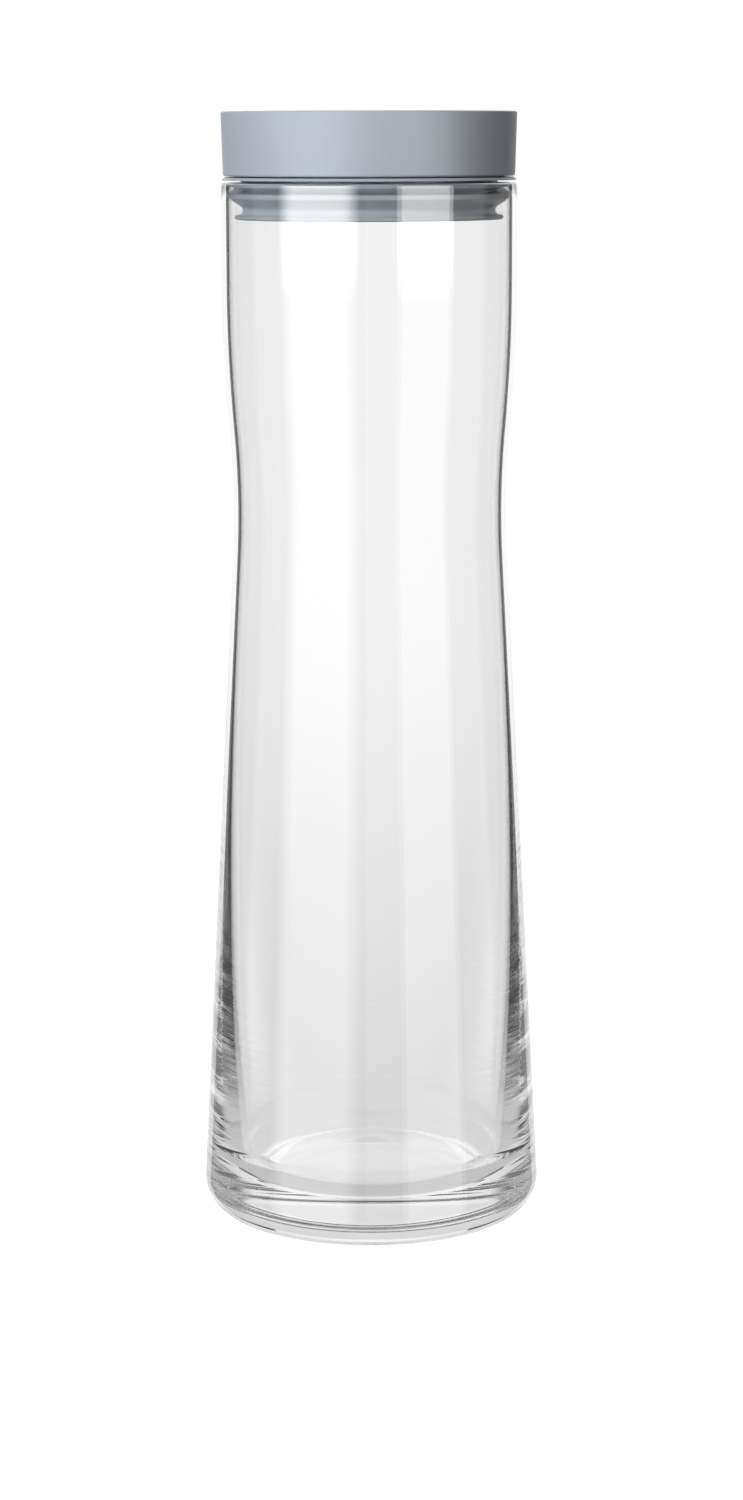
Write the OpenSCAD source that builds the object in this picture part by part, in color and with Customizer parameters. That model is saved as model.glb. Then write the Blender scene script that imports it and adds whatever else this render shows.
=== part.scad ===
// Water carafe: a clear waisted body with a heavy base, and a press-in lid with a soft sealing sleeve.
// Millimetres, +Z up. The origin is the centre of the standing plane.

/* [Glass body] */
// Height of the glass from the standing plane to the rim
glass_h = 272; // [262:1:300]
// Greatest diameter, just above the foot
base_d = 88.8; // [80:0.2:100]
// Diameter at the narrowest place of the waist
waist_d = 70.8; // [64:0.2:74]
// Outside diameter of the straight neck
neck_d = 76; // [73:0.2:84]
// Height of the narrowest place of the waist
waist_z = 188; // [160:1:200]
// Height at which the waist's curve turns into the shoulder's
bend_z = 209; // [202:1:225]
// Height at which the neck becomes straight
neck_z = 246; // [232:1:255]
// Radius of the curve from the lower wall into the waist
waist_bend_r = 234.7; // [120:0.1:320]
// Wall thickness from the neck to mid height
wall = 1.85; // [1.4:0.05:2.6]
// Height below which the wall thickens towards the base
thick_z = 170; // [110:1:180]
// Extra wall thickness that the thickening reaches at the standing plane
base_gain = 8.8; // [4:0.1:12]
// Power of the thickening: a higher one keeps the wall thin further down
thick_power = 2.8; // [1.5:0.1:4]
// Radius of the two edges of the rim
rim_edge = 0.4; // [0.2:0.05:0.7]

/* [Base] */
// Radius of the rounded edge of the foot
foot_r = 9.5; // [4:0.1:14]
// Thickness of the floor above the standing plane
floor_t = 11; // [5:0.1:18]
// Radius inside, between the floor and the wall
corner_r = 11; // [8:0.5:20]
// Height of the floor's shallow dome above its edge
floor_dome = 0.8; // [0.2:0.1:2]
// Width of the flat ring that the carafe stands on
ring_w = 4; // [2:0.1:8]
// Height of the hollow under the base
punt_h = 1; // [0.4:0.1:3]

/* [Seal sleeve] */
// Thickness of the flange above the rim
flange_t = 0.75; // [0.6:0.05:2.5]
// How far the flange stays inside the neck's outside
flange_inset = 0.2; // [0:0.1:1]
// Height of the flange's upright edge
flange_edge_h = 0.15; // [0.1:0.05:0.7]
// Width of the bevel above the flange's edge
flange_bevel = 0.6; // [0.2:0.1:1.2]
// Depth of the upper lip's top below the flange
upper_lip_d = 0.75; // [0.2:0.05:1.2]
// Thickness of the upper lip at its tip
upper_tip_t = 1; // [0.2:0.05:1.5]
// Height of the upper lip at its root
upper_root_h = 2.25; // [1.2:0.05:4]
// Height of the groove between the two lips at its root
groove_h = 0.45; // [0.1:0.05:1]
// How much deeper than the lips' root the groove runs
groove_depth = 1.2; // [0.3:0.1:1.6]
// Thickness of the lower lip at its tip
lower_tip_t = 1.1; // [0.3:0.05:1.5]
// How far the lips stand out from the sleeve
lip_reach = 3; // [2:0.1:3.8]
// Slope of the lower lip's underside
lip_angle = 35; // [30:1:50]
// How far the sleeve's waist lies inside the lips' tips
waist_depth = 3.5; // [3:0.1:4.5]
// Radius of the hollow between the lower lip and the foot lip
hollow_r = 1.2; // [0.8:0.1:1.4]
// How far the foot lip stands out from the sleeve's waist
foot_lip_reach = 2.05; // [1.95:0.05:2.6]
// Thickness of the foot lip
foot_lip_t = 1.1; // [0.7:0.1:1.3]
// Wall thickness of the sleeve at its waist
sleeve_wall = 1.8; // [1.4:0.1:2.4]

/* [Lid cap] */
// Height of the cap
cap_h = 16.3; // [12:0.1:30]
// How far the cap's lower edge lies inside the neck's outside
cap_inset = 0.5; // [0:0.1:1.5]
// How much further the cap reaches out at its top
cap_flare = 0.45; // [0:0.05:2]
// Wall thickness of the cap's skirt
cap_wall = 2; // [1.4:0.1:3]
// Thickness of the cap's top
cap_top_t = 2.2; // [1.4:0.1:4]
// Radius of the cap's upper edge
cap_top_edge = 0.5; // [0.2:0.1:1]
// Radius of the cap's lower edge
cap_low_edge = 0.6; // [0.2:0.1:0.9]
// Gap between the cap's lower edge and the flange
cap_gap = 0.3; // [0.2:0.1:1]

/* [Lid core] */
// Wall thickness of the core's tube, and of the collar round it
core_wall = 1.8; // [1.2:0.1:2.4]
// Thickness of the core's floor
core_floor_t = 1.6; // [1:0.1:3]
// How far the core's rim reaches under the sleeve
core_rim_reach = 1.2; // [0.6:0.1:1.4]
// Thickness of the core's rim
core_rim_t = 1.2; // [0.8:0.1:1.6]
// Gap between the core's upper end and the cap's top
core_end_gap = 1.5; // [0.5:0.1:3]
// Radius of the bead that snaps into the cap's collar
bead_r = 0.5; // [0.3:0.05:0.7]
// Depth of the bead below the core's upper end
bead_depth = 4; // [2:0.1:6]

/* [Fits] */
// Gap between the lips and the bore of the neck
lip_gap = 0.15; // [0.1:0.05:0.4]
// Gap between the flange and the rim
rim_gap = 0.65; // [0.05:0.05:1]
// Gap between the core and the pieces round it
core_gap = 0.1; // [0.05:0.05:0.3]

/* [Hidden] */
$fn = 96;
// Steps of an arc and of a long curve
arc_steps = 10;
curve_steps = 16;

// Radii of the glass
base_r = base_d / 2;
waist_r = waist_d / 2;
neck_r = neck_d / 2;
stand_r = base_r - foot_r;
ring_in_r = stand_r - ring_w;

// Curvatures of the waist's and the shoulder's arcs, which meet without a kink at bend_z
swell = neck_r - waist_r;
rise = neck_z - waist_z;
bend_curvature = 2 * swell * rise / (rise * rise + swell * swell);
waist_curvature = bend_curvature / (bend_z - waist_z);
shoulder_curvature = bend_curvature / (neck_z - bend_z);

// The straight lower wall touches the foot's arc and the arc below the waist, and leans in by lean
foot_to_waist = [waist_r + waist_bend_r - stand_r, waist_z - foot_r];
lean = atan2(foot_to_waist.y, foot_to_waist.x) - acos((foot_r + waist_bend_r) / norm(foot_to_waist));
wall_start = [stand_r + foot_r * cos(lean), foot_r + foot_r * sin(lean)];
wall_end_z = waist_z - waist_bend_r * sin(lean);

// Where the rim's round edges start
rim_z = glass_h - rim_edge;
rim_out_r = outer_r(rim_z);
rim_in_r = inner_r(rim_z);

// The hollow under the base is a shallow part of a sphere
punt_r = (ring_in_r * ring_in_r + punt_h * punt_h) / (2 * punt_h);
punt_angle = asin(ring_in_r / punt_r);

// The inside corner leaves the wall where the corner's arc has the wall's slope
corner_top_z = floor_t + corner_r;
corner_slope = atan((inner_r(corner_top_z + 1) - inner_r(corner_top_z - 1)) / 2);
corner_end_z = corner_top_z - corner_r * sin(corner_slope);
corner_centre_r = inner_r(corner_end_z) - corner_r * cos(corner_slope);

// The floor inside is a shallow part of a sphere too
dome_r = (corner_centre_r * corner_centre_r + floor_dome * floor_dome) / (2 * floor_dome);
dome_angle = asin(corner_centre_r / dome_r);
dome_centre_z = floor_t + floor_dome - dome_r;

// Heights of the sleeve's flange and lips, from the rim down
seat_z = glass_h + rim_gap;
flange_top_z = seat_z + flange_t;
upper_lip_z = seat_z - upper_lip_d;
groove_z = upper_lip_z - upper_root_h;
lower_lip_z = groove_z - groove_h;
lower_tip_z = lower_lip_z - lower_tip_t;

// Radii of the lid, from the rim and from the bore at the lower lip inwards
flange_r = rim_out_r - flange_inset;
lip_r = inner_r(lower_tip_z) - lip_gap;
groove_r = lip_r - lip_reach;
groove_in_r = groove_r - groove_depth;
sleeve_waist_r = lip_r - waist_depth;
sleeve_bore_r = sleeve_waist_r - sleeve_wall;
foot_lip_r = sleeve_waist_r + foot_lip_reach;
core_r = sleeve_bore_r - core_gap;
core_rim_r = core_r + core_rim_reach;
rim_seat_r = core_rim_r + core_gap;
collar_r = sleeve_bore_r + core_wall;
cap_low_r = rim_out_r - cap_inset;
cap_top_r = cap_low_r + cap_flare;

// Heights of the sleeve below its lips, down to the foot lip
hollow_centre_r = sleeve_waist_r + hollow_r;
slope_start_r = hollow_centre_r - hollow_r * sin(lip_angle);
slope_start_z = lower_tip_z - (lip_r - slope_start_r) * tan(lip_angle);
hollow_centre_z = slope_start_z - hollow_r * cos(lip_angle);
foot_lip_z = hollow_centre_z - hollow_r;
sleeve_low_z = foot_lip_z - foot_lip_t;
rim_seat_z = sleeve_low_z + core_rim_t;

// Heights of the cap and the core
cap_low_z = flange_top_z + cap_gap;
cap_top_z = cap_low_z + cap_h;
cap_under_z = cap_top_z - cap_top_t;
core_top_z = cap_under_z - core_end_gap;
bead_z = core_top_z - bead_depth;

// Even steps from one value to another, both ends included
function steps(low, high, count) = [for (i = [0 : count]) low + (high - low) * i / count];

// Points of an arc round centre, from one angle to another
function arc(centre, radius, from, to, count) =
    [for (a = steps(from, to, count)) centre + radius * [cos(a), sin(a)]];

// Rise of an arc of a given curvature at a distance from its crown, negative where it curves the other way
function arc_rise(curvature, distance) =
    curvature * pow(distance, 2) / (1 + sqrt(1 - pow(curvature * distance, 2)));

// Outside radius of the glass at a height above the foot's edge
function outer_r(z) =
    z < wall_end_z ? wall_start.x - (z - wall_start.y) * tan(lean) :
    z < waist_z ? waist_r + arc_rise(1 / waist_bend_r, waist_z - z) :
    z < bend_z ? waist_r + arc_rise(waist_curvature, z - waist_z) :
    z < neck_z ? neck_r - arc_rise(shoulder_curvature, neck_z - z) :
    neck_r;

// Inside radius of the glass: the wall grows below thick_z by the power of the depth
function inner_r(z) = outer_r(z) - wall - base_gain * pow(max(0, thick_z - z) / thick_z, thick_power);

// Heights of the points along the waist and the shoulder, as far as the rim
function curve_heights() = concat(
    [for (z = steps(wall_end_z, bend_z, curve_steps)) if (z < rim_z) z],
    [for (z = steps(bend_z, neck_z, curve_steps)) if (z > bend_z && z < rim_z) z]
);

// The same list from its end to its start
function backwards(list) = [for (i = [len(list) - 1 : -1 : 0]) list[i]];

// The same list without its first point
function rest(list) = [for (i = [1 : len(list) - 1]) list[i]];

// Outline from the standing plane up the outside to the rim
function outside_points() = concat(
    arc([0, punt_h - punt_r], punt_r, 90, 90 - punt_angle, arc_steps),
    arc([stand_r, foot_r], foot_r, -90, lean, arc_steps),
    [for (z = curve_heights()) [outer_r(z), z]]
);

// Outline from the rim down the inside to the floor
function inside_points() = concat(
    [for (z = backwards(curve_heights())) [inner_r(z), z]],
    [for (z = steps(wall_end_z, corner_end_z, 2 * curve_steps)) if (z < wall_end_z) [inner_r(z), z]],
    arc([corner_centre_r, corner_top_z], corner_r, -corner_slope, -90, arc_steps),
    rest(arc([0, dome_centre_z], dome_r, 90 - dome_angle, 90, arc_steps))
);

module carafe_body() {
    color([0.87, 0.92, 0.92, 0.35])
        rotate_extrude()
            polygon(concat(
                outside_points(),
                arc([rim_out_r - rim_edge, rim_z], rim_edge, 0, 90, arc_steps),
                arc([rim_in_r + rim_edge, rim_z], rim_edge, 90, 180, arc_steps),
                inside_points()
            ));
}

// Cap: a flared skirt and a top, with a collar inside that holds the core and presses on the sleeve
module lid_cap() {
    flare = atan(cap_flare / cap_h);
    low_centre = [cap_low_r - cap_low_edge, cap_low_z + cap_low_edge];
    top_centre = [cap_top_r - cap_top_edge, cap_top_z - cap_top_edge];
    color([0.66, 0.69, 0.74])
        difference() {
            rotate_extrude()
                polygon(concat(
                    [[0, cap_under_z], [sleeve_bore_r, cap_under_z], [sleeve_bore_r, flange_top_z]],
                    [[collar_r, flange_top_z], [collar_r, cap_under_z]],
                    [[cap_top_r - cap_wall, cap_under_z], [cap_low_r - cap_wall, cap_low_z]],
                    arc(low_centre, cap_low_edge, -90, -flare, arc_steps),
                    arc(top_centre, cap_top_edge, -flare, 90, arc_steps),
                    [[0, cap_top_z]]
                ));
            snap_ring(bead_r + core_gap);
        }
}

// Ring of round section on the core's outside, at the height of the snap
module snap_ring(section_r) {
    translate([0, 0, bead_z])
        rotate_extrude()
            translate([core_r, 0])
                circle(section_r, $fn = 32);
}

// Sleeve: flange above the rim, two wiping lips, waist and foot lip, with a seat below for the core's rim
module seal_sleeve() {
    tip_r = foot_lip_t / 2;
    color([0.55, 0.58, 0.63])
        rotate_extrude()
            polygon(concat(
                [[rim_seat_r, sleeve_low_z]],
                arc([foot_lip_r - tip_r, sleeve_low_z + tip_r], tip_r, -90, 90, arc_steps),
                arc([hollow_centre_r, hollow_centre_z], hollow_r, 270, 90 + lip_angle, arc_steps),
                [[lip_r, lower_tip_z], [lip_r, lower_lip_z], [groove_in_r, lower_lip_z]],
                [[groove_in_r, groove_z], [groove_r, groove_z]],
                [[lip_r, upper_lip_z - upper_tip_t], [lip_r, upper_lip_z], [groove_r, upper_lip_z]],
                [[groove_r, seat_z], [flange_r, seat_z], [flange_r, seat_z + flange_edge_h]],
                [[flange_r - flange_bevel, flange_top_z], [sleeve_bore_r, flange_top_z]],
                [[sleeve_bore_r, rim_seat_z], [rim_seat_r, rim_seat_z]]
            ));
}

// Core: a cup with a rim under the sleeve and a bead that snaps into the cap's collar
module lid_core() {
    tube_in_r = core_r - core_wall;
    core_floor_z = sleeve_low_z + core_floor_t;
    color([0.6, 0.63, 0.68])
        union() {
            rotate_extrude()
                polygon([
                    [0, sleeve_low_z], [core_rim_r, sleeve_low_z],
                    [core_rim_r, rim_seat_z], [core_r, rim_seat_z],
                    [core_r, core_top_z], [tube_in_r, core_top_z],
                    [tube_in_r, core_floor_z], [0, core_floor_z]
                ]);
            snap_ring(bead_r);
        }
}

carafe_body();
lid_cap();
seal_sleeve();
lid_core();
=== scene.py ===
"""Water carafe: a clear waisted glass body with a heavy base, and a grey press-in lid with a soft sleeve.

Every size is in metres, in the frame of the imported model: +Z up, the origin at the centre of the standing
plane. Azimuths are in degrees.
"""
import logging
import math
from dataclasses import dataclass
from enum import Enum
from itertools import pairwise

import bpy
from mathutils import Matrix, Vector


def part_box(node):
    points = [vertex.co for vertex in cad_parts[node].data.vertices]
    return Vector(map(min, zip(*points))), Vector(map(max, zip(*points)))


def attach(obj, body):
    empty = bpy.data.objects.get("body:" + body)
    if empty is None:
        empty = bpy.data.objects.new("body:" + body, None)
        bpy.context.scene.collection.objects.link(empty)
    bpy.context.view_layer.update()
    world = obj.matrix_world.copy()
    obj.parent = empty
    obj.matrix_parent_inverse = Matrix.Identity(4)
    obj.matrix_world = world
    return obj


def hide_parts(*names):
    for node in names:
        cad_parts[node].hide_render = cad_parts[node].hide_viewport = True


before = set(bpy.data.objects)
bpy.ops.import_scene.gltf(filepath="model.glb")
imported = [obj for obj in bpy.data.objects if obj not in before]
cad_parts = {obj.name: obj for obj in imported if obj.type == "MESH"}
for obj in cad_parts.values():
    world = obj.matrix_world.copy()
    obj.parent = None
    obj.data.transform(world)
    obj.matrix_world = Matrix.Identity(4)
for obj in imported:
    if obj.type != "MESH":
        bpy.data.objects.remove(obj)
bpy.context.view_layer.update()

Point = tuple[float, float]
Span = tuple[float, float]
Colour = tuple[float, float, float, float]
Stops = tuple[tuple[float, float], ...]

WHITE: Colour = (1.0, 1.0, 1.0, 1.0)
SEED_SIZE = 0.001
MERGE_DISTANCE = 1e-6
HALF_TURN = 180.0

log = logging.getLogger("carafe")


class Body(Enum):
    """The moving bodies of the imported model."""

    CARAFE = "carafe"
    LID = "lid"


class Slot(Enum):
    """The material slots of the record."""

    GLASS = "clear_glass"
    CAP = "grey_plastic"
    SLEEVE = "grey_silicone"
    CORE = "core_plastic"


def steps(low: float, high: float, count: int) -> list[float]:
    """Even steps from one value to another.

    Args:
        low: The first value.
        high: The last value.
        count: How many steps lie between them.

    Returns:
        The values, both ends included.
    """
    return [low + (high - low) * index / count for index in range(count + 1)]


def arc(centre: Point, radius: float, start: float, end: float, count: int = 12) -> list[Point]:
    """Points of an arc in the plane of an outline.

    Args:
        centre: Radius and height of the arc's centre.
        radius: Radius of the arc.
        start: Angle of the first point in degrees, from the outward direction.
        end: Angle of the last point in degrees.
        count: How many steps the arc has.

    Returns:
        The points, both ends included.
    """
    turns = [math.radians(angle) for angle in steps(start, end, count)]
    return [(centre[0] + radius * math.cos(a), centre[1] + radius * math.sin(a)) for a in turns]


def turn_outline(name: str, outline: list[Point], segments: int) -> bpy.types.Object:
    """Turns an outline round the carafe's axis into a closed skin.

    Args:
        name: Name of the new piece.
        outline: Points of radius and height that start and end on the axis, or come back to their start.
        segments: How many steps a full turn has.

    Returns:
        The new piece, at the origin, with its faces turned outwards.
    """
    radius, height = outline[0]
    bpy.ops.object.select_all(action="DESELECT")
    bpy.ops.mesh.primitive_plane_add(size=SEED_SIZE, location=(radius, 0.0, height))
    piece = bpy.context.object
    piece.name = piece.data.name = name
    bpy.ops.object.mode_set(mode="EDIT")
    bpy.ops.mesh.select_mode(type="VERT")
    bpy.ops.mesh.select_all(action="SELECT")
    bpy.ops.mesh.merge(type="CENTER")
    for here, there in pairwise(outline):
        move = (there[0] - here[0], 0.0, there[1] - here[1])
        bpy.ops.mesh.extrude_vertices_move(TRANSFORM_OT_translate={"value": move})
    bpy.ops.mesh.select_all(action="SELECT")
    bpy.ops.mesh.spin(steps=segments, angle=math.tau, center=(0.0, 0.0, 0.0), axis=(0.0, 0.0, 1.0))
    bpy.ops.mesh.select_all(action="SELECT")
    bpy.ops.mesh.remove_doubles(threshold=MERGE_DISTANCE)
    bpy.ops.mesh.normals_make_consistent(inside=False)
    bpy.ops.object.mode_set(mode="OBJECT")
    bpy.ops.object.transform_apply(location=True, rotation=False, scale=False)
    return piece


def shaded(tone: Colour, share: tuple[float, float, float]) -> Colour:
    """Scales a tone's red, green and blue by their shares."""
    return (tone[0] * share[0], tone[1] * share[1], tone[2] * share[2], tone[3])


class Graph:
    """The node graph of a finish or of the world, with short calls to add nodes and to join them."""

    def __init__(self, owner: bpy.types.Material | bpy.types.World) -> None:
        """Starts an empty graph in a new material or world."""
        owner.use_nodes = True
        self.owner = owner
        self.tree = owner.node_tree
        self.tree.nodes.clear()

    @classmethod
    def finish(cls, name: str) -> "Graph":
        """Starts an empty graph in a new material of this name."""
        return cls(bpy.data.materials.new(name))

    def add(self, kind: str, **values: object) -> bpy.types.Node:
        """Adds a node.

        Args:
            kind: Name of the node's type, without its common start.
            values: Inputs by name, with _ for a space, or the node's own settings.

        Returns:
            The new node.
        """
        node = self.tree.nodes.new("ShaderNode" + kind)
        for name, value in values.items():
            label = name.replace("_", " ")
            if label in node.inputs:
                node.inputs[label].default_value = value
            else:
                setattr(node, name, value)
        return node

    def join(self, source: bpy.types.NodeSocket, target: bpy.types.NodeSocket) -> None:
        """Joins an output to an input."""
        self.tree.links.new(source, target)

    def mix(
        self,
        share: bpy.types.NodeSocket,
        first: bpy.types.NodeSocket,
        second: bpy.types.NodeSocket,
    ) -> bpy.types.NodeSocket:
        """Mixes two shaders.

        Args:
            share: How much of the second shader shows.
            first: The shader at a share of 0.
            second: The shader at a share of 1.

        Returns:
            The mixed shader.
        """
        mix = self.add("MixShader")
        self.join(share, mix.inputs["Fac"])
        self.join(first, mix.inputs[1])
        self.join(second, mix.inputs[2])
        return mix.outputs["Shader"]

    def blend(
        self,
        share: bpy.types.NodeSocket,
        first: bpy.types.NodeSocket,
        second: bpy.types.NodeSocket | float,
    ) -> bpy.types.NodeSocket:
        """Mixes two values.

        Args:
            share: How much of the second value counts.
            first: The value at a share of 0.
            second: The value at a share of 1.

        Returns:
            The mixed value.
        """
        mix = self.add("Mix", data_type="FLOAT")
        self.join(share, mix.inputs["Factor"])
        self.join(first, mix.inputs["A"])
        if isinstance(second, float):
            mix.inputs["B"].default_value = second
        else:
            self.join(second, mix.inputs["B"])
        return mix.outputs["Result"]

    def span(
        self,
        value: bpy.types.NodeSocket,
        source: Span,
        target: Span = (0.0, 1.0),
        curve: str = "LINEAR",
    ) -> bpy.types.NodeSocket:
        """Maps a value from one span to another, without leaving it.

        Args:
            value: The value to map.
            source: Values that give the two ends of the target.
            target: The two ends that come out.
            curve: How the value runs between the two ends.

        Returns:
            The mapped value.
        """
        spread = self.add("MapRange", interpolation_type=curve)
        ends = {"From Min": source[0], "From Max": source[1], "To Min": target[0], "To Max": target[1]}
        for label, end in ends.items():
            spread.inputs[label].default_value = end
        self.join(value, spread.inputs["Value"])
        return spread.outputs["Result"]

    def product(self, first: bpy.types.NodeSocket, second: bpy.types.NodeSocket) -> bpy.types.NodeSocket:
        """Multiplies two values.

        Args:
            first: The one value.
            second: The other value.

        Returns:
            Their product.
        """
        times = self.add("Math", operation="MULTIPLY")
        self.join(first, times.inputs[0])
        self.join(second, times.inputs[1])
        return times.outputs["Value"]

    def ramp(self, value: bpy.types.NodeSocket, stops: Stops) -> bpy.types.NodeSocket:
        """Looks a value up in a row of stops.

        Args:
            value: The value, from 0 to 1.
            stops: Pairs of a value and the grey that it gives.

        Returns:
            The grey.
        """
        ramp = self.add("ValToRGB")
        elements = ramp.color_ramp.elements
        while len(elements) < len(stops):
            elements.new(1.0)
        for element, (place, grey) in zip(elements, stops):
            element.position = place
            element.color = (grey, grey, grey, 1.0)
        self.join(value, ramp.inputs["Fac"])
        return ramp.outputs["Color"]

    def close(self, surface: bpy.types.NodeSocket) -> bpy.types.Material | bpy.types.World:
        """Joins the last shader to the output.

        Args:
            surface: The shader that shows.

        Returns:
            The finished material or world.
        """
        kind = "OutputWorld" if isinstance(self.owner, bpy.types.World) else "OutputMaterial"
        self.join(surface, self.add(kind).inputs["Surface"])
        return self.owner


@dataclass(frozen=True)
class ClearGlass:
    """Clear soda glass with faint striae low down, which lets lamps through to what stands in it."""

    ior: float = 1.52
    tint: Colour = (0.992, 0.995, 0.994, 1.0)
    lamp_share: Colour = (0.958, 0.96, 0.96, 1.0)
    striae: tuple[float, float, float] = (16.0, 16.0, 330.0)
    striae_depth: float = 0.00004
    striae_z: Span = (0.105, 0.05)
    striae_share: Span = (0.04, 1.0)
    clean_z: Span = (0.024, 0.04)

    def make(self) -> bpy.types.Material:
        """Builds the finish and returns it."""
        graph = Graph.finish("clear_glass")
        glass = graph.add("BsdfPrincipled", Base_Color=self.tint, Roughness=0.0, IOR=self.ior)
        glass.inputs["Transmission Weight"].default_value = 1.0
        place = graph.add("TexCoord")
        stretch = graph.add("Mapping", Scale=self.striae)
        waves = graph.add("TexNoise", Scale=1.0, Detail=3.0, Roughness=0.6)
        split = graph.add("SeparateXYZ")
        bump = graph.add("Bump", Strength=1.0, Distance=self.striae_depth)
        graph.join(place.outputs["Object"], stretch.inputs["Vector"])
        graph.join(place.outputs["Object"], split.inputs["Vector"])
        graph.join(stretch.outputs["Vector"], waves.inputs["Vector"])
        strength = graph.product(
            graph.span(split.outputs["Z"], self.striae_z, self.striae_share),
            graph.span(split.outputs["Z"], self.clean_z),
        )
        graph.join(graph.product(waves.outputs["Fac"], strength), bump.inputs["Height"])
        graph.join(bump.outputs["Normal"], glass.inputs["Normal"])
        lamps = graph.add("BsdfTransparent", Color=self.lamp_share)
        path = graph.add("LightPath")
        shown = graph.mix(path.outputs["Is Shadow Ray"], glass.outputs["BSDF"], lamps.outputs["BSDF"])
        return graph.close(shown)


@dataclass(frozen=True)
class MouldedGrey:
    """Matte grey moulding with a fine grain and a faint drift of its tone."""

    name: str
    light_tone: Colour
    dark_tone: Colour
    roughness: float
    grain: float
    grain_scale: float = 5200.0
    grain_depth: float = 0.00004
    drift_scale: float = 45.0
    drift_span: Span = (0.35, 0.65)
    ior: float = 1.46

    def make(self) -> bpy.types.Material:
        """Builds the finish and returns it."""
        graph = Graph.finish(self.name)
        place = graph.add("TexCoord")
        drift = graph.add("TexNoise", Scale=self.drift_scale, Detail=3.0, Roughness=0.55)
        grain = graph.add("TexNoise", Scale=self.grain_scale, Detail=2.0, Roughness=0.6)
        tone = graph.add("ValToRGB")
        tones = (self.dark_tone, self.light_tone)
        for element, position, colour in zip(tone.color_ramp.elements, self.drift_span, tones):
            element.position = position
            element.color = colour
        bump = graph.add("Bump", Strength=self.grain, Distance=self.grain_depth)
        skin = graph.add("BsdfPrincipled", Roughness=self.roughness, IOR=self.ior)
        graph.join(place.outputs["Object"], drift.inputs["Vector"])
        graph.join(place.outputs["Object"], grain.inputs["Vector"])
        graph.join(drift.outputs["Fac"], tone.inputs["Fac"])
        graph.join(grain.outputs["Fac"], bump.inputs["Height"])
        graph.join(tone.outputs["Color"], skin.inputs["Base Color"])
        graph.join(bump.outputs["Normal"], skin.inputs["Normal"])
        return graph.close(skin.outputs["BSDF"])


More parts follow.
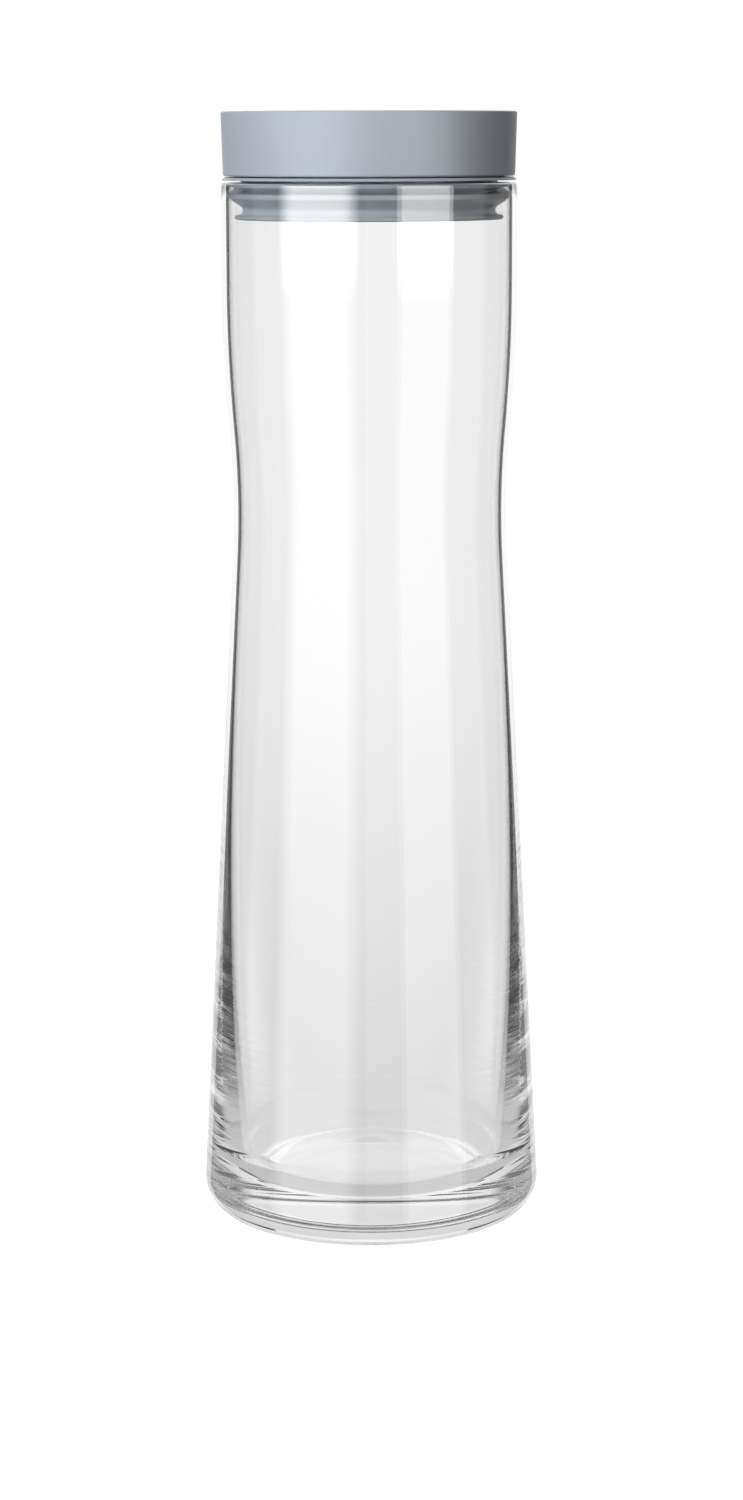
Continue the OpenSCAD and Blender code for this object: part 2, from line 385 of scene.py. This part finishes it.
@dataclass
class GlassBody:
    """The blown body: straight neck, waist, long tapered wall and thick base."""

    height: float
    base_r: float
    waist_r: float = 0.0354
    neck_r: float = 0.038
    waist_z: float = 0.188
    bend_z: float = 0.209
    neck_z: float = 0.246
    waist_bend_r: float = 0.2347
    wall: float = 0.00185
    thick_z: float = 0.170
    base_gain: float = 0.0088
    thick_power: float = 2.8
    rim_edge: float = 0.0004
    foot_r: float = 0.0095
    floor_t: float = 0.011
    corner_r: float = 0.011
    floor_dome: float = 0.0008
    ring_w: float = 0.004
    punt_h: float = 0.001
    low_step: float = 0.00115
    high_step: float = 0.004
    fine_z: float = 0.110
    slope_probe: float = 0.001
    dome_steps: int = 24
    ring_steps: int = 4
    round_steps: int = 28
    rim_steps: int = 8
    segments: int = 256

    def __post_init__(self) -> None:
        """Works out the arcs that the outline is made of."""
        self.stand_r = self.base_r - self.foot_r
        self.ring_in_r = self.stand_r - self.ring_w
        swell = self.neck_r - self.waist_r
        rise = self.neck_z - self.waist_z
        bend = 2.0 * swell * rise / (rise**2 + swell**2)
        self.waist_curvature = bend / (self.bend_z - self.waist_z)
        self.shoulder_curvature = bend / (self.neck_z - self.bend_z)
        across = self.waist_r + self.waist_bend_r - self.stand_r
        up = self.waist_z - self.foot_r
        reach = (self.foot_r + self.waist_bend_r) / math.hypot(across, up)
        self.lean = math.atan2(up, across) - math.acos(reach)
        self.wall_start_r = self.stand_r + self.foot_r * math.cos(self.lean)
        self.wall_start_z = self.foot_r + self.foot_r * math.sin(self.lean)
        self.wall_end_z = self.waist_z - self.waist_bend_r * math.sin(self.lean)
        self.rim_z = self.height - self.rim_edge

    @staticmethod
    def arc_rise(curvature: float, distance: float) -> float:
        """Rise of an arc of a given curvature at a distance from its crown."""
        return curvature * distance**2 / (1.0 + math.sqrt(1.0 - (curvature * distance) ** 2))

    def outer_radius(self, z: float) -> float:
        """Outside radius of the glass at a height above the foot's edge.

        Args:
            z: Height above the standing plane.

        Returns:
            The radius.
        """
        if z < self.wall_end_z:
            return self.wall_start_r - (z - self.wall_start_z) * math.tan(self.lean)
        if z < self.waist_z:
            return self.waist_r + self.arc_rise(1.0 / self.waist_bend_r, self.waist_z - z)
        if z < self.bend_z:
            return self.waist_r + self.arc_rise(self.waist_curvature, z - self.waist_z)
        if z < self.neck_z:
            return self.neck_r - self.arc_rise(self.shoulder_curvature, self.neck_z - z)
        return self.neck_r

    def inner_radius(self, z: float) -> float:
        """Inside radius of the glass: the wall grows by a power of the depth below thick_z.

        Args:
            z: Height above the standing plane.

        Returns:
            The radius.
        """
        gain = self.base_gain * (max(0.0, self.thick_z - z) / self.thick_z) ** self.thick_power
        return self.outer_radius(z) - self.wall - gain

    def rows(self, low_z: float) -> list[float]:
        """Heights of the wall's rows of faces, which are finer low down where the glass bends light most.

        Args:
            low_z: Height at which the wall starts.

        Returns:
            The heights between the start and the rim, without both ends.
        """
        fine = steps(low_z, self.fine_z, round((self.fine_z - low_z) / self.low_step))
        coarse = steps(self.fine_z, self.rim_z, round((self.rim_z - self.fine_z) / self.high_step))
        return [*fine[1:], *coarse[1:-1]]

    def outline(self) -> list[Point]:
        """Outline from the middle of the underside, up the outside, over the rim and down to the floor.

        Returns:
            Points of radius and height.
        """
        punt_r = (self.ring_in_r**2 + self.punt_h**2) / (2.0 * self.punt_h)
        punt_angle = math.degrees(math.asin(self.ring_in_r / punt_r))
        bore_r = self.inner_radius(self.rim_z)
        corner_z = self.floor_t + self.corner_r
        above_r = self.inner_radius(corner_z + self.slope_probe)
        below_r = self.inner_radius(corner_z - self.slope_probe)
        slope = math.atan((above_r - below_r) / (2.0 * self.slope_probe))
        corner_end_z = corner_z - self.corner_r * math.sin(slope)
        corner_r = self.inner_radius(corner_end_z) - self.corner_r * math.cos(slope)
        outside = self.rows(self.wall_start_z)
        inside = self.rows(corner_end_z)[::-1]
        dome_r = (corner_r**2 + self.floor_dome**2) / (2.0 * self.floor_dome)
        dome_angle = math.degrees(math.asin(corner_r / dome_r))
        dome_centre = (0.0, self.floor_t + self.floor_dome - dome_r)
        floor = arc(dome_centre, dome_r, 90.0 - dome_angle, 90.0, self.dome_steps)
        return [
            *arc((0.0, self.punt_h - punt_r), punt_r, 90.0, 90.0 - punt_angle, self.dome_steps),
            *[(radius, 0.0) for radius in steps(self.ring_in_r, self.stand_r, self.ring_steps)[1:-1]],
            *arc((self.stand_r, self.foot_r), self.foot_r, -90.0, math.degrees(self.lean), self.round_steps),
            *[(self.outer_radius(z), z) for z in outside],
            *arc((self.neck_r - self.rim_edge, self.rim_z), self.rim_edge, 0.0, 90.0, self.rim_steps),
            *arc((bore_r + self.rim_edge, self.rim_z), self.rim_edge, 90.0, 180.0, self.rim_steps),
            *[(self.inner_radius(z), z) for z in inside],
            *arc((corner_r, corner_z), self.corner_r, -math.degrees(slope), -90.0, self.round_steps),
            *floor[1:],
        ]

    def build(self) -> bpy.types.Object:
        """Models the body, dresses it and puts it in the frame.

        Returns:
            The finished piece.
        """
        piece = turn_outline("carafe_glass", self.outline(), self.segments)
        bpy.ops.object.shade_smooth()
        piece.data.materials.append(ClearGlass().make())
        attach(piece, Body.CARAFE.value)
        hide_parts("carafe_body")
        return piece


@dataclass
class Lid:
    """The press-in lid: a plain cap, a soft sleeve with three lips and a stiff core inside it."""

    rim_z: float
    bore_r: float
    neck_r: float
    flange_t: float = 0.00075
    flange_inset: float = 0.0002
    flange_edge_h: float = 0.00015
    flange_bevel: float = 0.0006
    upper_lip_d: float = 0.00075
    upper_tip_t: float = 0.001
    upper_root_h: float = 0.00225
    groove_h: float = 0.00045
    groove_depth: float = 0.0012
    lower_tip_t: float = 0.0011
    lip_reach: float = 0.003
    lip_angle: float = 35.0
    waist_depth: float = 0.0035
    hollow_r: float = 0.0012
    foot_lip_reach: float = 0.00205
    foot_lip_t: float = 0.0011
    sleeve_wall: float = 0.0018
    cap_h: float = 0.0163
    cap_inset: float = 0.0005
    cap_flare: float = 0.00045
    cap_wall: float = 0.002
    cap_top_t: float = 0.0022
    cap_top_edge: float = 0.0005
    cap_low_edge: float = 0.0006
    cap_gap: float = 0.0003
    core_wall: float = 0.0018
    core_floor_t: float = 0.0016
    core_rim_reach: float = 0.0012
    core_rim_t: float = 0.0012
    core_end_gap: float = 0.0015
    bead_r: float = 0.0005
    bead_depth: float = 0.004
    lip_gap: float = 0.00015
    rim_gap: float = 0.00065
    core_gap: float = 0.0001
    edge_rounding: float = 0.00012
    edge_steps: int = 2
    edge_angle: float = 30.0
    smooth_angle: float = 35.0
    hollow_steps: int = 16
    segments: int = 256
    grey: Colour = (0.53, 0.578, 0.645, 1.0)
    shade_share: tuple[float, float, float] = (0.965, 0.965, 0.97)
    soft_share: tuple[float, float, float] = (0.95, 0.95, 0.95)
    soft_shade_share: tuple[float, float, float] = (0.915, 0.915, 0.915)

    def __post_init__(self) -> None:
        """Works out the radii from the bore inwards and the heights from the rim down and up."""
        self.lip_r = self.bore_r - self.lip_gap
        self.groove_r = self.lip_r - self.lip_reach
        self.sleeve_waist_r = self.lip_r - self.waist_depth
        self.sleeve_bore_r = self.sleeve_waist_r - self.sleeve_wall
        self.seat_z = self.rim_z + self.rim_gap
        self.flange_top_z = self.seat_z + self.flange_t
        self.upper_lip_z = self.seat_z - self.upper_lip_d
        self.groove_z = self.upper_lip_z - self.upper_root_h
        self.lower_lip_z = self.groove_z - self.groove_h
        self.lower_tip_z = self.lower_lip_z - self.lower_tip_t
        slope = math.radians(self.lip_angle)
        self.hollow_centre_r = self.sleeve_waist_r + self.hollow_r
        slope_r = self.hollow_centre_r - self.hollow_r * math.sin(slope)
        slope_z = self.lower_tip_z - (self.lip_r - slope_r) * math.tan(slope)
        self.hollow_centre_z = slope_z - self.hollow_r * math.cos(slope)
        self.sleeve_low_z = self.hollow_centre_z - self.hollow_r - self.foot_lip_t
        self.core_r = self.sleeve_bore_r - self.core_gap
        self.core_rim_r = self.core_r + self.core_rim_reach
        self.rim_seat_r = self.core_rim_r + self.core_gap
        self.rim_seat_z = self.sleeve_low_z + self.core_rim_t
        self.cap_low_z = self.flange_top_z + self.cap_gap
        self.cap_top_z = self.cap_low_z + self.cap_h
        self.cap_under_z = self.cap_top_z - self.cap_top_t
        self.core_top_z = self.cap_under_z - self.core_end_gap
        self.bead_centre = (self.core_r, self.core_top_z - self.bead_depth)

    def cap_outline(self) -> list[Point]:
        """Outline of the cap, from the middle of its underside round its skirt to the middle of its top."""
        low_r = self.neck_r - self.cap_inset
        top_r = low_r + self.cap_flare
        collar_r = self.sleeve_bore_r + self.core_wall
        flare = math.degrees(math.atan(self.cap_flare / self.cap_h))
        low_edge = (low_r - self.cap_low_edge, self.cap_low_z + self.cap_low_edge)
        top_edge = (top_r - self.cap_top_edge, self.cap_top_z - self.cap_top_edge)
        snap_r = self.bead_r + self.core_gap
        snap = math.degrees(math.acos(self.core_gap / snap_r))
        return [
            (0.0, self.cap_under_z),
            (self.sleeve_bore_r, self.cap_under_z),
            *arc(self.bead_centre, snap_r, snap, -snap),
            (self.sleeve_bore_r, self.flange_top_z),
            (collar_r, self.flange_top_z),
            (collar_r, self.cap_under_z),
            (top_r - self.cap_wall, self.cap_under_z),
            (low_r - self.cap_wall, self.cap_low_z),
            *arc(low_edge, self.cap_low_edge, -90.0, -flare),
            *arc(top_edge, self.cap_top_edge, -flare, 90.0),
            (0.0, self.cap_top_z),
        ]

    def sleeve_outline(self) -> list[Point]:
        """Outline of the sleeve's section, up its outside and down its bore, back to its start."""
        tip_r = self.foot_lip_t / 2.0
        foot_tip = (self.sleeve_waist_r + self.foot_lip_reach - tip_r, self.sleeve_low_z + tip_r)
        flange_r = self.neck_r - self.flange_inset
        hollow_centre = (self.hollow_centre_r, self.hollow_centre_z)
        return [
            (self.rim_seat_r, self.sleeve_low_z),
            *arc(foot_tip, tip_r, -90.0, 90.0),
            *arc(hollow_centre, self.hollow_r, 270.0, 90.0 + self.lip_angle, self.hollow_steps),
            (self.lip_r, self.lower_tip_z),
            (self.lip_r, self.lower_lip_z),
            (self.groove_r - self.groove_depth, self.lower_lip_z),
            (self.groove_r - self.groove_depth, self.groove_z),
            (self.groove_r, self.groove_z),
            (self.lip_r, self.upper_lip_z - self.upper_tip_t),
            (self.lip_r, self.upper_lip_z),
            (self.groove_r, self.upper_lip_z),
            (self.groove_r, self.seat_z),
            (flange_r, self.seat_z),
            (flange_r, self.seat_z + self.flange_edge_h),
            (flange_r - self.flange_bevel, self.flange_top_z),
            (self.sleeve_bore_r, self.flange_top_z),
            (self.sleeve_bore_r, self.rim_seat_z),
            (self.rim_seat_r, self.rim_seat_z),
            (self.rim_seat_r, self.sleeve_low_z),
        ]

    def core_outline(self) -> list[Point]:
        """Outline of the core, from the middle of its underside up its tube and down to its floor."""
        inside_r = self.core_r - self.core_wall
        floor_z = self.sleeve_low_z + self.core_floor_t
        return [
            (0.0, self.sleeve_low_z),
            (self.core_rim_r, self.sleeve_low_z),
            (self.core_rim_r, self.rim_seat_z),
            (self.core_r, self.rim_seat_z),
            *arc(self.bead_centre, self.bead_r, -90.0, 90.0),
            (self.core_r, self.core_top_z),
            (inside_r, self.core_top_z),
            (inside_r, floor_z),
            (0.0, floor_z),
        ]

    def finish_piece(self, piece: bpy.types.Object, node: str, finish: MouldedGrey) -> None:
        """Rounds a piece's edges a little, smooths it, dresses it and puts it in the frame.

        Args:
            piece: The turned piece.
            node: The CAD node that it stands for.
            finish: What its surface looks like.
        """
        rounding = piece.modifiers.new("edge_rounding", "BEVEL")
        rounding.width = self.edge_rounding
        rounding.segments = self.edge_steps
        rounding.limit_method = "ANGLE"
        rounding.angle_limit = math.radians(self.edge_angle)
        bpy.ops.object.modifier_apply(modifier=rounding.name)
        bpy.ops.object.shade_smooth_by_angle(angle=math.radians(self.smooth_angle))
        piece.data.materials.append(finish.make())
        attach(piece, Body.LID.value)
        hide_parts(node)

    def build(self) -> list[bpy.types.Object]:
        """Models and dresses the lid's three pieces.

        Returns:
            The cap, the sleeve and the core.
        """
        shade = shaded(self.grey, self.shade_share)
        soft = shaded(self.grey, self.soft_share)
        soft_shade = shaded(self.grey, self.soft_shade_share)
        plastic = MouldedGrey("grey_plastic", self.grey, shade, roughness=0.46, grain=0.35)
        silicone = MouldedGrey("grey_silicone", soft, soft_shade, roughness=0.36, grain=0.2)
        inner = MouldedGrey("core_plastic", self.grey, shade, roughness=0.4, grain=0.25)
        cap = turn_outline("cap_shell", self.cap_outline(), self.segments)
        self.finish_piece(cap, "lid_cap", plastic)
        sleeve = turn_outline("sealing_sleeve", self.sleeve_outline(), self.segments)
        self.finish_piece(sleeve, "seal_sleeve", silicone)
        core = turn_outline("stiff_core", self.core_outline(), self.segments)
        self.finish_piece(core, "lid_core", inner)
        return [cap, sleeve, core]


@dataclass
class Studio:
    """Pale floor, white surroundings, soft boxes and the camera at the photograph's angle."""

    camera_distance: float = 0.950
    camera_side: float = 0.0003
    camera_z: float = 0.2842
    camera_pitch: float = 9.56
    camera_roll: float = -0.13
    focal_px: float = 3656.0
    frame_px: float = 1500.0
    sensor: float = 36.0
    clip: Span = (0.01, 50.0)
    floor_r: float = 4.0
    floor_sides: int = 96
    floor_drop: float = 0.0001
    floor_paint: Colour = (0.3, 0.3, 0.3, 1.0)
    floor_dim: Colour = (0.1, 0.1, 0.1, 1.0)
    floor_glow: float = 0.95
    lamp_distance: float = 1.1
    lamp_fall: float = 0.25
    key_azimuth: float = -35.0
    key_z: float = 0.65
    key_power: float = 9.0
    key_spread: Span = (0.7, 0.6)
    fill_azimuth: float = -40.0
    fill_z: float = 0.08
    fill_power: float = 0.5
    fill_spread: Span = (0.6, 0.1)
    ambient: float = 0.315
    ground: float = 0.14
    ground_z: Span = (-0.02, 0.02)
    hollow_depth: Span = (2.4, 2.6)
    hollow_upper: float = 0.82
    upper_z: Span = (0.015, 0.06)
    top_level: float = 0.85
    top_z: Span = (0.47, 0.6)
    near_level: float = 0.7
    near_z: Span = (-0.36, -0.46)
    edge_near_level: float = 0.55
    edge_lean: float = 0.041
    lean_z: Span = (-0.1, -0.3)
    left_card: Span = (-77.0, -3.0)
    left_strength: float = 12.0
    left_profile: Stops = ((0.0, 0.0), (0.14, 0.0), (0.5, 1.0), (1.0, 1.0))
    right_card: Span = (21.0, 67.0)
    right_strength: float = 9.0
    right_profile: Stops = ((0.0, 0.5), (0.16, 0.5), (0.18, 1.0), (1.0, 1.0))
    card_distance: float = 0.8
    card_low_z: float = -0.5
    card_top_z: float = 0.36
    card_fade_z: Span = (0.19, 0.246)
    card_low_share: float = 0.24
    around: Stops = ((0.0, 0.95), (26.0, 0.95), (27.0, 0.05), (72.0, 0.05), (80.0, 0.95), (180.0, 0.95))
    gloss_around: Stops = (
        (0.0, 0.95),
        (30.5, 0.95),
        (32.0, 0.08),
        (50.0, 0.08),
        (60.0, 0.12),
        (145.0, 0.12),
        (163.0, 0.5),
        (180.0, 0.5),
    )
    hollow_around: Stops = (
        (0.0, 0.94),
        (3.0, 0.92),
        (5.0, 0.9),
        (8.0, 0.97),
        (11.0, 1.1),
        (15.0, 1.2),
        (24.5, 1.2),
        (25.5, 0.64),
        (32.0, 0.64),
        (40.0, 0.85),
        (180.0, 0.82),
    )
    upper_around: Stops = ((0.0, 0.74), (110.0, 0.7), (130.0, 0.2), (180.0, 0.2))
    fall_z: Span = (-0.4, 0.0)
    downwards: Stops = ((0.0, 0.74), (0.14, 0.78), (0.42, 0.88), (0.61, 0.97), (0.7, 1.0), (1.0, 1.0))
    bounces: int = 256

    def camera(self) -> None:
        """Sets the camera up."""
        data = bpy.data.cameras.new("photo_camera")
        data.sensor_width = self.sensor
        data.lens = self.sensor * self.focal_px / self.frame_px
        data.clip_start, data.clip_end = self.clip
        view = bpy.data.objects.new("photo_camera", data)
        pitch = Matrix.Rotation(math.radians(90.0 - self.camera_pitch), 3, "X")
        roll = Matrix.Rotation(math.radians(self.camera_roll), 3, "Z")
        view.location = (self.camera_side, -self.camera_distance, self.camera_z)
        view.rotation_euler = (pitch @ roll).to_euler()
        bpy.context.scene.collection.objects.link(view)
        bpy.context.scene.camera = view

    def lamp(self, name: str, azimuth: float, height: float, power: float, spread: Span) -> None:
        """Hangs a soft lamp that faces the lid and shows neither in gloss nor in glass.

        Args:
            name: Name of the lamp.
            azimuth: Its side in degrees, from the camera's side.
            height: Its height above the floor.
            power: Its power.
            spread: Its width and height.
        """
        data = bpy.data.lights.new(name, "AREA")
        data.shape = "RECTANGLE"
        data.size, data.size_y = spread
        data.energy = power
        turn = math.radians(azimuth)
        lamp = bpy.data.objects.new(name, data)
        lamp.location = (math.sin(turn) * self.lamp_distance, -math.cos(turn) * self.lamp_distance, height)
        aim = lamp.location.copy()
        aim.z -= self.lamp_fall
        lamp.rotation_euler = aim.to_track_quat("Z", "Y").to_euler()
        lamp.visible_camera = False
        lamp.visible_glossy = False
        lamp.visible_transmission = False
        bpy.context.scene.collection.objects.link(lamp)

    def card(self, name: str, sweep: Span, strength: float, profile: Stops) -> None:
        """Stands a bright card round the object, seen in its gloss and in what the glass bends.

        Args:
            name: Name of the card.
            sweep: Azimuths of its two edges, from the camera's side.
            strength: Brightness, where 1 is white.
            profile: Share of that brightness from the card's edges, at 0, to its middle, at 1.
        """
        start, end = (math.radians(angle) for angle in sweep)
        middle = (start + end) / 2.0
        width = 2.0 * self.card_distance * math.tan((end - start) / 2.0)
        height = self.card_top_z - self.card_low_z
        bpy.ops.object.select_all(action="DESELECT")
        bpy.ops.mesh.primitive_plane_add(size=1.0)
        card = bpy.context.object
        card.name = card.data.name = name
        card.scale = (width, height, 1.0)
        card.location = (
            math.sin(middle) * self.card_distance,
            -math.cos(middle) * self.card_distance,
            (self.card_top_z + self.card_low_z) / 2.0,
        )
        card.rotation_euler = (math.radians(90.0), 0.0, middle)
        graph = Graph.finish(name)
        place = graph.add("TexCoord")
        split = graph.add("SeparateXYZ")
        across = graph.add("Math", operation="ABSOLUTE")
        path = graph.add("LightPath")
        glow = graph.add("Emission", Color=WHITE)
        graph.join(place.outputs["Object"], split.inputs["Vector"])
        graph.join(split.outputs["X"], across.inputs[0])
        edge = 0.5
        inwards = graph.span(across.outputs["Value"], (edge, 0.0))
        fade_low, fade_high = ((z - self.card_low_z) / height - edge for z in self.card_fade_z)
        dimmed = (self.card_low_share * strength, strength)
        up = graph.span(split.outputs["Y"], (fade_low, fade_high), dimmed, "SMOOTHSTEP")
        direct = graph.span(path.outputs["Diffuse Depth"], (0.0, 1.0), (1.0, 0.0))
        level = graph.product(graph.product(graph.ramp(inwards, profile), up), direct)
        graph.join(level, glow.inputs["Strength"])
        card.data.materials.append(graph.close(glow.outputs["Emission"]))
        card.visible_camera = card.visible_diffuse = card.visible_transmission = False
        card.visible_shadow = card.visible_volume_scatter = False

    def by_side(
        self,
        graph: Graph,
        split: bpy.types.Node,
        stops: Stops,
        lean: float = 0.0,
    ) -> bpy.types.NodeSocket:
        """Brightness of the surroundings by the side that a ray leaves to.

        Args:
            graph: The graph to add to.
            split: The ray's direction, as X, Y and Z.
            stops: Brightness by azimuth, from straight behind at 0 to the camera's side at 180.
            lean: How far the sides close in on the middle for rays that fall, as a share of a half turn.

        Returns:
            The brightness.
        """
        across = graph.add("Math", operation="ABSOLUTE")
        turn = graph.add("Math", operation="ARCTAN2")
        side = graph.add("Math", operation="MULTIPLY_ADD")
        side.inputs[1].default_value = 1.0 / math.pi
        graph.join(split.outputs["X"], across.inputs[0])
        graph.join(across.outputs["Value"], turn.inputs[0])
        graph.join(split.outputs["Y"], turn.inputs[1])
        graph.join(turn.outputs["Value"], side.inputs[0])
        graph.join(graph.span(split.outputs["Z"], self.lean_z, (0.0, lean)), side.inputs[2])
        shares = tuple((azimuth / HALF_TURN, level) for azimuth, level in stops)
        return graph.ramp(side.outputs["Value"], shares)

    def through_hollow(self, graph: Graph, path: bpy.types.Node) -> bpy.types.NodeSocket:
        """Tells rays that have crossed the hollow from those that stayed in the glass.

        Args:
            graph: The graph to add to.
            path: The light path of the ray.

        Returns:
            1 for a ray that has crossed the hollow, 0 for any other.
        """
        return graph.span(path.outputs["Transmission Depth"], self.hollow_depth)

    def floor(self) -> None:
        """Lays the pale floor, which the eye sees and the glass doesn't: there the surroundings show."""
        bpy.ops.object.select_all(action="DESELECT")
        bpy.ops.mesh.primitive_circle_add(
            vertices=self.floor_sides,
            radius=self.floor_r,
            fill_type="NGON",
            location=(0.0, 0.0, -self.floor_drop),
        )
        floor = bpy.context.object
        floor.name = floor.data.name = "pale_floor"
        graph = Graph.finish("pale_floor")
        path = graph.add("LightPath")
        paint = graph.add("BsdfDiffuse", Color=self.floor_paint)
        dim = graph.add("BsdfDiffuse", Color=self.floor_dim)
        glow = graph.add("Emission", Color=WHITE, Strength=self.floor_glow)
        both = graph.add("AddShader")
        graph.join(paint.outputs["BSDF"], both.inputs[0])
        graph.join(glow.outputs["Emission"], both.inputs[1])
        shown = graph.mix(path.outputs["Is Camera Ray"], dim.outputs["BSDF"], both.outputs["Shader"])
        floor.data.materials.append(graph.close(shown))
        floor.visible_glossy = floor.visible_transmission = False

    def surroundings(self) -> None:
        """Makes the world white for the camera, and by direction for gloss, glass and the room's light."""
        world = bpy.data.worlds.new("studio")
        bpy.context.scene.world = world
        graph = Graph(world)
        path = graph.add("LightPath")
        place = graph.add("TexCoord")
        split = graph.add("SeparateXYZ")
        graph.join(place.outputs["Generated"], split.inputs["Vector"])
        rise = split.outputs["Z"]
        high = graph.span(rise, self.upper_z)
        top = graph.span(rise, self.top_z)
        edges = graph.blend(
            high,
            self.by_side(graph, split, self.around, self.edge_lean),
            graph.blend(top, self.by_side(graph, split, self.upper_around), self.top_level),
        )
        clear = self.by_side(graph, split, self.hollow_around)
        middle = graph.blend(high, clear, self.hollow_upper)
        hollow = self.through_hollow(graph, path)
        fall = graph.ramp(graph.span(rise, self.fall_z), self.downwards)
        level = graph.product(graph.blend(hollow, edges, middle), fall)
        near = graph.span(hollow, (0.0, 1.0), (self.edge_near_level, self.near_level))
        steep = graph.span(rise, self.near_z)
        seen, gloss, ambient, white = (graph.add("Background", Color=WHITE) for _ in range(4))
        graph.join(graph.blend(steep, level, near), seen.inputs["Strength"])
        graph.join(self.by_side(graph, split, self.gloss_around), gloss.inputs["Strength"])
        room = graph.span(rise, self.ground_z, (self.ground, self.ambient))
        graph.join(room, ambient.inputs["Strength"])
        refracted = path.outputs["Is Transmission Ray"]
        shown = graph.mix(refracted, gloss.outputs["Background"], seen.outputs["Background"])
        lit = graph.mix(path.outputs["Diffuse Depth"], shown, ambient.outputs["Background"])
        graph.close(graph.mix(path.outputs["Is Camera Ray"], lit, white.outputs["Background"]))

    def build(self) -> None:
        """Sets up everything round the object."""
        scene = bpy.context.scene
        scene.view_settings.view_transform = "Standard"
        scene.cycles.max_bounces = self.bounces
        scene.cycles.glossy_bounces = self.bounces
        scene.cycles.transmission_bounces = self.bounces
        self.surroundings()
        self.floor()
        self.lamp("key_light", self.key_azimuth, self.key_z, self.key_power, self.key_spread)
        self.lamp("fill_light", self.fill_azimuth, self.fill_z, self.fill_power, self.fill_spread)
        self.card("left_card", self.left_card, self.left_strength, self.left_profile)
        self.card("right_card", self.right_card, self.right_strength, self.right_profile)
        self.camera()


def main() -> None:
    """Builds the carafe's pieces and the studio, and reports each piece."""
    logging.basicConfig(level=logging.INFO, format="%(name)s: %(message)s")
    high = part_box("carafe_body")[1]
    glass = GlassBody(height=high.z, base_r=high.x)
    lid = Lid(rim_z=high.z, bore_r=glass.inner_radius(glass.rim_z), neck_r=glass.neck_r)
    for piece in [glass.build(), *lid.build()]:
        log.info("%s: %d faces", piece.name, len(piece.data.polygons))
    Studio().build()


if __name__ == "__main__":
    main()
